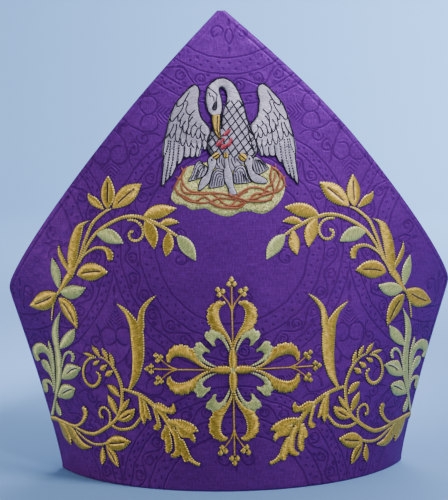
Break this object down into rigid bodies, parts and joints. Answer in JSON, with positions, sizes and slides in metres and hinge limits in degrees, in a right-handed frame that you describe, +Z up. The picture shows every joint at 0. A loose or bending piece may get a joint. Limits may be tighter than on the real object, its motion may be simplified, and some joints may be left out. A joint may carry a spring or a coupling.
{
  "type": "bishop's mitre",
  "caption": "Tall folding ceremonial hat of violet damask with two pointed horns, a soft cloth between them, lappets at the back and gold scroll embroidery on the front.",
  "frame": {"origin": "bottom centre of the whole's box, on the surface that the rim and the lappets rest on", "axes": "+Z up from the rim to the tips of the horns, +Y from the embroidered front to the ends of the lappets, +X to the right as seen from the front"},
  "size_m": [0.2964, 0.448, 0.306],
  "materials": {
    "violet_damask": "satin and matt figured silk, tone on tone",
    "violet_lining": "plain soft satin"
  },
  "bodies": {
    "root": {"front_panel": "violet_damask", "back_panel": "violet_damask", "crown_gusset": "violet_lining", "lappet_left": "violet_damask", "lappet_right": "violet_damask"}
  },
  "joints": []
}
